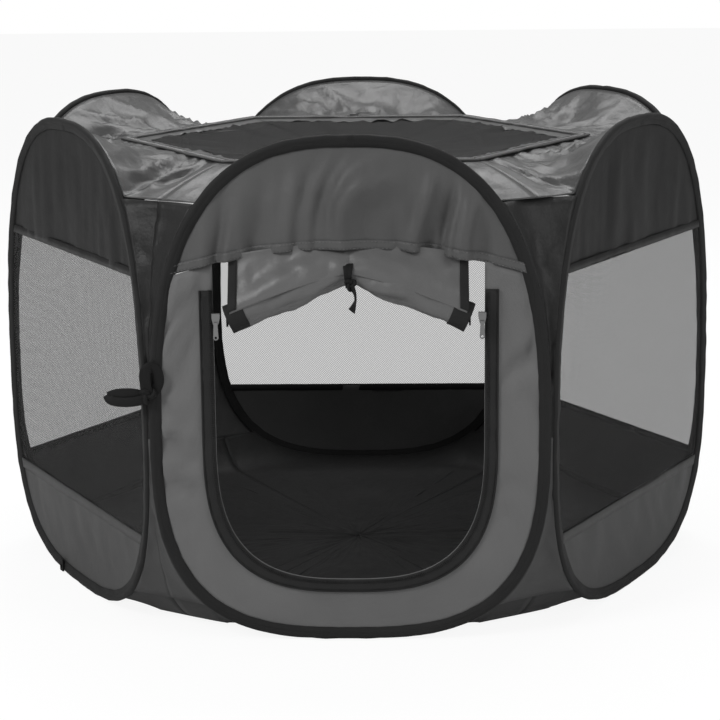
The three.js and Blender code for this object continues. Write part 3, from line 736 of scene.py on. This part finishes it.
# Zip tape round the doorway, with its piped edge and its teeth.
TAPE_DEPTH = (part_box("door_zip_tape")[0].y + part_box("door_zip_tape")[1].y) / 2 + APOTHEM
TAPE_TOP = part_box("door_zip_tape")[1].z
grid = []
for i in range(5):
    grow = 0.0005 + 0.0145 * i / 4
    lift = 0.0008 if i in (0, 4) else 0
    line = []
    for j, p in enumerate(door_path(grow, TAPE_TOP)):
        wave_in = 0.0005 * ripple(p.x * 40 + j * 0.6, p.y * 60, 4)
        line.append(on_wall(0, p.x, TAPE_DEPTH - lift + wave_in, p.y))
    grid.append(line)
made = add_sheet("door_tape", grid, 0.0011, TAPE, "front", ["door_zip_tape"])


def tube_along(name, points, radius, material, body, sides=8, replaced=(), closed=False,
               flatten=1.0):
    """A round tube along a line of points."""
    rings = []
    count = len(points)
    up = Vector((0.13, 0.9, 0.41)).normalized()
    for i, p in enumerate(points):
        ahead = points[(i + 1) % count] if closed or i < count - 1 else p
        behind = points[i - 1] if closed or i else p
        along = (ahead - behind).normalized()
        side = along.cross(up).normalized()
        other = side.cross(along).normalized()
        r = radius(i / (count - 1)) if callable(radius) else radius
        rings.append([p + side * r * math.cos(2 * math.pi * j / sides) + other * r * flatten * math.sin(2 * math.pi * j / sides)
                      for j in range(sides)])
    return add_tube(name, rings, material, body, replaced, closed)


edge_line = [on_wall(0, p.x, TAPE_DEPTH - 0.001, p.y) for p in door_path(0.0152, TAPE_TOP)]
tube_along("door_tape_edge", edge_line, 0.0011, BINDING, "front", sides=7)


def zip_teeth(name, points, normal, body, pitch=0.0022, wide=0.0042, thick=0.0014):
    """Moulded coil teeth across a zip's line."""
    vertices, faces, uvs = [], [], []
    lengths = [0.0]
    for a, b in zip(points, points[1:]):
        lengths.append(lengths[-1] + (b - a).length)
    at = 0
    for k in range(int(lengths[-1] / pitch)):
        s = k * pitch
        while lengths[at + 1] < s and at < len(lengths) - 2:
            at += 1
        share = (s - lengths[at]) / max(lengths[at + 1] - lengths[at], 1e-9)
        p = points[at].lerp(points[at + 1], share)
        along = (points[at + 1] - points[at]).normalized()
        side = along.cross(normal).normalized()
        base = len(vertices)
        for a, b, c in ((-1, -1, -1), (1, -1, -1), (1, 1, -1), (-1, 1, -1), (-1, -1, 1), (1, -1, 1), (1, 1, 1), (-1, 1, 1)):
            squeeze = 0.7 if c > 0 else 1
            vertices.append(p + along * a * pitch * 0.33 * squeeze + side * b * wide / 2 * squeeze + normal * c * thick / 2)
            uvs.append((s, b * wide))
        for quad in ((3, 2, 1, 0), (4, 5, 6, 7), (0, 1, 5, 4), (1, 2, 6, 5), (2, 3, 7, 6), (3, 0, 4, 7)):
            faces.append(tuple(base + q for q in quad))
    return add_object(name, vertices, faces, uvs, ZIP_METAL if "lid" in name else TAPE, body)


teeth_line = [on_wall(0, p.x, TAPE_DEPTH - 0.0012, p.y) for p in door_path(0.0035, TAPE_TOP)]
zip_teeth("door_teeth", teeth_line, -inward(0), "front")

# ---- rolled door flap ----
ROLL_RADIUS = (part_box("door_tie")[1].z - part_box("door_tie")[0].z) / 2 - 0.002
ROLL_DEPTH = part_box("door_tie")[0].y / 2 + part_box("door_tie")[1].y / 2 + APOTHEM
ROLL_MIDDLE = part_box("door_tie")[0].z / 2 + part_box("door_tie")[1].z / 2
ROLL_DROP = 0.048
ROLL_BAND = 0.019            # bound ends of the flap
CINCH = 0.60                 # the tie draws the roll in to this share of its radius


def roll_height(share):
    return ROLL_MIDDLE - ROLL_DROP * abs(share) ** 1.2


def roll_radius(share):
    return ROLL_RADIUS * (CINCH + (1.08 - CINCH) * ease(0, 0.5, abs(share)))


def roll_ring(share, grow, lumps, sides=40):
    """One ring of the wound cloth: taller than deep, with the edge of the outer turn showing."""
    x = share * ROLL_HALF
    slope = -ROLL_DROP * 1.2 * abs(share) ** 0.2 * (1 if share > 0 else -1) / ROLL_HALF
    along = Vector((1, 0, slope)).normalized()
    up = Vector((-along.z, 0, along.x))
    radius = roll_radius(share) + grow
    ring = []
    for j in range(sides):
        turn = j / sides
        angle = 2 * math.pi * turn
        lap = 1 - 0.10 * turn
        fold = ripple(x * 26 + 3 * turn, turn * 2.2, 11) * 0.0022 + ripple(x * 80, turn * 5, 12) * 0.0007
        r = radius * lap + lumps * fold
        # the outer turn's edge lies low on the front
        a = angle - 2.0
        offset = up * (r * 1.08 * math.sin(a)) + Vector((0, r * 0.86 * math.cos(a), 0))
        ring.append(on_wall(0, x + offset.x, ROLL_DEPTH + offset.y, roll_height(share) + offset.z))
    return ring


shares = [2 * i / 90 - 1 for i in range(91)]
turns = [roll_ring(s, 0, 1) for s in shares]
roll = add_tube("flap_roll", turns, FLAP, "door_flap", ["door_roll"])
band = ROLL_BAND / ROLL_HALF
for side, label in ((-1, "left"), (1, "right")):
    rings = [roll_ring(side * (1 - band + (band + 0.008) * i / 10), 0.0009, 0.6) for i in range(11)]
    rings = rings if side > 0 else rings[::-1]
    ends = add_tube(f"flap_roll_band_{label}", rings, BINDING, "door_flap")
    centre = on_wall(0, side * (ROLL_HALF + 0.0012), ROLL_DEPTH, roll_height(1) + 0.0004)
    spiral = []
    for i in range(91):
        t = i / 90
        angle = 2 * math.pi * 2.6 * t
        r = (0.12 + 0.86 * t) * ROLL_RADIUS * 0.95
        spiral.append(centre + Vector((0, 0.86 * r * math.cos(angle), 1.08 * r * math.sin(angle))))
    tube_along(f"flap_roll_spiral_{label}", spiral, 0.0008, BINDING, "door_flap", sides=6)


def flap_point(x, t, out=0.0):
    """A point on the flap's cloth, from under the header's hem (t = 0) to the front of the roll (t = 1)."""
    share = x / ROLL_HALF
    radius = roll_radius(share)
    top = hem_height(x) + 0.001
    low = roll_height(share) + 0.35 * radius
    depth = -0.0028 + (ROLL_DEPTH - 0.78 * radius + 0.0028) * ease(0.0, 0.95, t)
    slack = math.sin(math.pi * min(t, 1))
    pull = ripple(x * 20 - t * 1.6 * math.copysign(1, x), t * 1.2, 13) * 0.0034
    depth += slack * (pull + 0.0012 * ripple(x * 70, t * 3, 14))
    return on_wall(0, x, depth - out, top + (low - top) * t)


grid = []
for i in range(25):
    t = i / 24
    grid.append([flap_point((ROLL_HALF - 0.002) * (2 * j / 110 - 1), t) for j in range(111)])
flap = add_sheet("flap_panel", grid, 0.0009, FLAP, "door_flap", ["door_flap_cloth"])
for side, label in ((-1, "left"), (1, "right")):
    grid = []
    for i in range(17):
        strip = [side * (ROLL_HALF - 0.010 + 0.010 * j / 4) for j in range(5)]
        grid.append([flap_point(x, i / 16 * 0.96, 0.0013) for x in strip])
    if side < 0:
        grid = [line[::-1] for line in grid]
    edge = add_sheet(f"flap_edge_{label}", grid, 0.0011, BINDING, "door_flap")

# The ribbon that ties the roll: a band round its middle, a knot and a hanging end.
TIE_HALF = 0.0042
grid = []
for i in range(41):
    angle = 2 * math.pi * i / 40
    line = []
    for j in range(7):
        x = TIE_HALF * (2 * j / 6 - 1) * (1 + 0.35 * math.sin(angle))
        r = ROLL_RADIUS * (CINCH + 0.16) + 0.0004 * ripple(x * 500, angle, 15)
        depth = ROLL_DEPTH + 0.95 * r * math.cos(angle)
        line.append(on_wall(0, x, depth, ROLL_MIDDLE + 1.25 * r * math.sin(angle)))
    grid.append(line)
tie = add_sheet("tie_band", grid, 0.0011, WEBBING, "door_flap", ["door_tie"])
KNOT = on_wall(0, 0.003, ROLL_DEPTH - ROLL_RADIUS * 0.85, ROLL_MIDDLE - ROLL_RADIUS * 0.55)
loop = []
for i in range(49):
    a = 2 * math.pi * i / 48
    loop.append(KNOT + Vector(((math.sin(a) + 2 * math.sin(2 * a)) * 0.0019, -0.0016 * math.sin(3 * a) - 0.001,
                               (math.cos(a) - 2 * math.cos(2 * a)) * 0.0022)))
tube_along("tie_knot", loop[:-1], 0.0019, WEBBING, "door_flap", sides=8, closed=True)


def ribbon(name, path, width, thickness, material, body, replaced=(),
           face=Vector((0, -1, 0)), steps=10, twist=None):
    """A ribbon along a smooth path, with its flat side turned towards face."""
    points = []
    for i in range(len(path) - 1):
        before, a, b = path[max(i - 1, 0)], path[i], path[i + 1]
        after = path[min(i + 2, len(path) - 1)]
        for k in range(steps):
            t = k / steps
            points.append(0.5 * ((2 * a) + (b - before) * t + (2 * before - 5 * a + 4 * b - after) * t * t
                                 + (3 * a - before - 3 * b + after) * t ** 3))
    points.append(path[-1].copy())
    grid = []
    for i, p in enumerate(points):
        along = (points[min(i + 1, len(points) - 1)] - points[max(i - 1, 0)]).normalized()
        share = i / (len(points) - 1)
        side = along.cross(face).normalized()
        if twist:
            side = Matrix.Rotation(twist(share), 3, along) @ side
        half = width / 2
        bow = side.cross(along).normalized() * 0.0006
        grid.append([p + side * half * (2 * j / 6 - 1) + bow * (1 - (2 * j / 6 - 1) ** 2) for j in range(7)])
    made = add_sheet(name, grid, thickness, material, body, replaced)
    return made


tail = [KNOT + Vector(v) for v in ((0.000, -0.001, -0.001), (0.004, -0.003, -0.008), (0.0055, -0.002, -0.017),
                                   (0.004, -0.001, -0.024), (0.001, 0.0, -0.031))]
ribbon("tie_end", tail, 0.0100, 0.0011, WEBBING, "door_flap", ["door_tie_tail"],
       twist=lambda t: 0.5 + 0.9 * math.sin(3 * t))

# ---- roof, lid and floor: one sector to each wall, riding on that wall ----
ROOF_REACH = half_width(0.526) - 0.002
FLOOR_REACH = half_width(0.042) - 0.002
EDGE_DEPTH = 0.0046
SEAM_SHARE = 0.84            # share of a sector's width that lies on its hoop


def sector_edge(wall, u, reach, height, corner_height):
    """A point on a sector's outer edge: u from -1 to 1, first and last across the gap between two hoops."""
    if abs(u) <= SEAM_SHARE:
        x = reach * math.sin(math.pi / 2 * u / SEAM_SHARE)
        return on_wall(wall, x, EDGE_DEPTH, height(x))
    side = math.copysign(1, u)
    start = on_wall(wall, side * reach, EDGE_DEPTH, height(reach))
    other = on_wall((wall + int(side)) % SIDES, -side * reach, EDGE_DEPTH, height(reach))
    end = (start + other) / 2
    end.z = corner_height
    return start.lerp(end, (abs(u) - SEAM_SHARE) / (1 - SEAM_SHARE))


def hexagon_point(wall, u, radius, z):
    return on_wall(wall, u * radius / 2, APOTHEM - radius * math.cos(math.pi / 6), z)


def fold_on_to(made):
    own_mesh(made)


def crease(a, b, seed):
    """Sharp folds in taut cloth."""
    return 1 - 2 * abs(ripple(a, b, seed)) ** 0.6


def roof_point(wall, u, v):
    edge = sector_edge(wall, u, ROOF_REACH, lambda x: crown(x) - 0.006, ROOF_CORNER - 0.001)
    inner = hexagon_point(wall, u, ZIP_RADIUS, ZIP_HEIGHT)
    p = edge.lerp(inner, v)
    p.z = ZIP_HEIGHT + (edge.z - ZIP_HEIGHT) * (1 - v) ** 1.7
    room = math.sin(math.pi * min(max(v, 0), 1)) ** 0.8
    # the same at a sector's two ends, so that neighbours meet
    along = abs(u) if abs(u) > 0.9 else u
    inside = 1 - ease(0.8, 1.0, abs(u))
    long = 0.0065 * crease(along * 5 + v * 1.3, v * 1.1, wall + 20) * inside
    short = 0.0024 * ripple(along * 22, v * 6, wall + 30) * inside
    ridge = 0.006 * ease(0.75, 1.0, abs(u)) * room
    p.z += room * (long + short) - 0.007 * room * inside - ridge * 0.3
    return p


ROOF_COLUMNS, ROOF_ROWS = 84, 26
for wall in range(SIDES):
    name = WALLS[wall]
    grid = [[roof_point(wall, 2 * j / ROOF_COLUMNS - 1, i / ROOF_ROWS) for j in range(ROOF_COLUMNS + 1)]
            for i in range(ROOF_ROWS + 1)]
    made = add_sheet(f"roof_{name}", grid, SKIN, ROOF, name, ["roof_border"])
    fold_on_to(made)

    # the zip: tape and teeth on its line, with piping at both edges of the tape
    for label, radius, lift, thick, material in (("outer", ZIP_RADIUS + 0.007, 0.0014, 0.0016, PIPING),
                                                 ("inner", ZIP_RADIUS - 0.007, 0.0016, 0.0014, PIPING)):
        line = [hexagon_point(wall, 2 * j / 40 - 1, radius, ZIP_HEIGHT + lift + 0.0006 * ripple(j * 0.4, wall, 8)
                              * (1 - abs(2 * j / 40 - 1))) for j in range(41)]
        made = tube_along(f"lid_piping_{label}_{name}", line, thick, material, name, sides=8)
        fold_on_to(made)
    grid = [[hexagon_point(wall, 2 * j / 40 - 1, ZIP_RADIUS + 0.0065 - 0.013 * i / 3, ZIP_HEIGHT + 0.0012)
             for j in range(41)] for i in range(4)]
    made = add_sheet(f"lid_tape_{name}", grid, 0.0010, TAPE, name)
    fold_on_to(made)
    line = [hexagon_point(wall, 2 * j / 40 - 1, ZIP_RADIUS, ZIP_HEIGHT + 0.0022) for j in range(41)]
    made = zip_teeth(f"lid_teeth_{name}", line, Vector((0, 0, 1)), name)
    fold_on_to(made)

    # the lid's cloth border, whose inner edge waves where the net is gathered to it
    def border_point(u, v):
        width = 0.030 + 0.006 * ripple(u * 3 * (1 - abs(u)), 0.3, wall + 40) * (1 - u * u)
        radius = ZIP_RADIUS - 0.008 - (width - 0.008) * v
        z = ZIP_HEIGHT - 0.002 * v + 0.0022 * v * ripple(u * 12, v, wall + 41) * (1 - u * u)
        return hexagon_point(wall, u, radius, z)

    grid = [[border_point(2 * j / 60 - 1, i / 6) for j in range(61)] for i in range(7)]
    made = add_sheet(f"lid_edge_{name}", grid, SKIN, ROOF, name, ["lid_border"])
    fold_on_to(made)

    def net_point(u, v):
        rim = border_point(u, 0.9)
        middle = Vector((0, 0, LID_MIDDLE - 0.004))
        p = rim.lerp(middle, v)
        sag = (middle.z - rim.z) * (1 - (1 - v) ** 2)
        p.z = rim.z + sag + 0.0022 * ripple(u * 5, v * 4, wall + 50) * (1 - u * u) * (1 - v)
        return p

    grid = [[net_point(2 * j / 40 - 1, 0.999 * i / 24) for j in range(41)] for i in range(25)]
    made = add_sheet(f"lid_net_{name}", grid, 0.0004, LID_NET, name, ["lid_mesh"])
    fold_on_to(made)

    def floor_point(u, v):
        edge = sector_edge(wall, u, FLOOR_REACH, lambda x: foot(x) + 0.006, FLOOR_CORNER - 0.003)
        middle = Vector((0, 0, edge.z))
        p = edge.lerp(middle, v)
        fall = max(0.0, 1 - v / 0.13) ** 1.8
        flat_now = 0.0008 + 0.0026 * max(0.0, ripple(u * 4 * (1 - v) + wall, v * 5, wall + 60)) * (1 - u * u)
        fine = 0.0012 * max(0.0, ripple(u * 16, v * 12, wall + 61)) * (1 - u * u)
        away = ease(0.1, 0.25, v)
        p.z = edge.z * fall + (flat_now + fine * away) * (1 - fall)
        return p

    grid = [[floor_point(2 * j / 72 - 1, 0.999 * (i / 44) ** 1.4) for j in range(73)] for i in range(45)]
    made = add_sheet(f"floor_{name}", grid, SKIN, FLOOR, name, ["floor_sheet"])
    fold_on_to(made)

# ---- corner gussets ----
UPPER_TIP, UPPER_END = WIDEST, ROOF_CORNER - 0.0015
LOWER_TIP, LOWER_END = WIDEST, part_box("lower_gusset_back_to_back_left")[0].z


def gusset_grid(wall, low, high, bow, wrinkle, seed, first=0.0, last=1.0, columns=20, rows=30):
    following = (wall + 1) % SIDES
    turn = (wall + 0.5) * TURN
    out = Matrix.Rotation(turn, 3, "Z") @ Vector((0, -1, 0))
    grid = []
    for i in range(rows + 1):
        share = i / rows
        z = low + (high - low) * share
        edge = half_width(z) - 0.0005
        a, b = on_wall(wall, edge, 0, z), on_wall(following, -edge, 0, z)
        line = []
        for j in range(columns + 1):
            t = first + (last - first) * j / columns
            p = a.lerp(b, t)
            room = 4 * t * (1 - t)
            fold = wrinkle * ripple(z * 60 + 0.8 * t, t * 1.6, seed + wall) * room * share ** 0.5
            p -= out * (bow * share * room - fold)
            line.append(p)
        grid.append(line)
    return grid


def declare_gusset(grid):
    """Works out the cut as a narrow triangle, as wide as its last row and as long as its side; the sizes are not
    kept.
    """
    wide = max(sum((b - a).length for a, b in zip(grid[-1], grid[-1][1:])), 0.012)
    tall = sum((b[0] - a[0]).length for a, b in zip(grid, grid[1:]))
    area = 0.0
    for upper, lower in zip(grid, grid[1:]):
        for j in range(len(upper) - 1):
            area += (upper[j + 1] - upper[j]).cross(lower[j] - upper[j]).length
    area = min(max(area, 0.301 * wide * tall), wide * tall)


def gusset(kind, wall, low, high, bow, wrinkle, seed, material):
    here, following = WALLS[wall], WALLS[(wall + 1) % SIDES]
    node = f"{kind}_gusset_{here}_to_{following}"
    if following == "front":
        for label, body, first, last in (("left", here, 0.0, 0.5), ("right", following, 0.5, 1.0)):
            grid = gusset_grid(wall, low, high, bow, wrinkle, seed, first, last, columns=10)
            title = f"{kind}_corner_{here}_to_{following}_{label}"
            made = add_sheet(title, grid, SKIN, material, body, [node])
            declare_gusset(grid)
        return
    grid = gusset_grid(wall, low, high, bow, wrinkle, seed)
    made = add_sheet(f"{kind}_corner_{here}_to_{following}", grid, SKIN, material, None, [node])
    declare_gusset(grid)
    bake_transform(made)


for wall in range(SIDES):
    gusset("upper", wall, UPPER_TIP, UPPER_END, 0.008, 0.0030, 70, GUSSET)
    gusset("lower", wall, LOWER_TIP, LOWER_END, 0.005, 0.0022, 80, LOWER)

# ---- closure strap, looped round the front left corner ----
STRAP_Z = 0.300


def strap_point(x, depth, z):
    return on_wall(0, (x - 235) / 1000, (depth + 7.1) / 1000, STRAP_Z + z / 1000)


STRAP_PATH = ((-44, -10, -2), (-34, -14, 2), (-18, -16, 3), (-4, -15, 1), (8, -13, 5), (14, -12, 15),
              (13, -12, 27), (6, -13, 34), (-1, -16, 27), (0, -18, 12), (2, -18, 0), (0, -16, -8))
strap = [strap_point(*p) for p in STRAP_PATH]
ribbon("strap_loop", strap, 0.0125, 0.0018, WEBBING, "front", ["closure_strap"])
WRAP_PATH = ((-46, -9, 0), (-42, -13, -5), (-30, -16, -7), (-14, -18, -6), (2, -17, -2), (8, -14, 4))
wrap = [strap_point(*p) for p in WRAP_PATH]
ribbon("strap_wrap", wrap, 0.0110, 0.0018, WEBBING, "front")
knot = []
for i in range(48):
    a = 2 * math.pi * i / 48
    knot.append(strap_point(2 + 3.2 * (math.sin(a) + 1.6 * math.sin(2 * a)), -18 - 2.2 * math.sin(3 * a),
                            1 + 3.2 * (math.cos(a) - 1.6 * math.cos(2 * a))))
tube_along("strap_knot", knot, 0.0030, WEBBING, "front", sides=8, closed=True, flatten=0.7)

# ---- small fittings keep their CAD shapes ----
for node in ("door_left_slider", "door_left_pull", "door_right_slider", "door_right_pull",
             "lid_slider", "lid_pull", "lid_zip_stop"):
    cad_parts[node].data.materials.clear()
    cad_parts[node].data.materials.append(ZIP_METAL)
for node in ("stake_loop_front_left", "stake_loop_back_right"):
    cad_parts[node].data.materials.clear()
    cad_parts[node].data.materials.append(WEBBING)
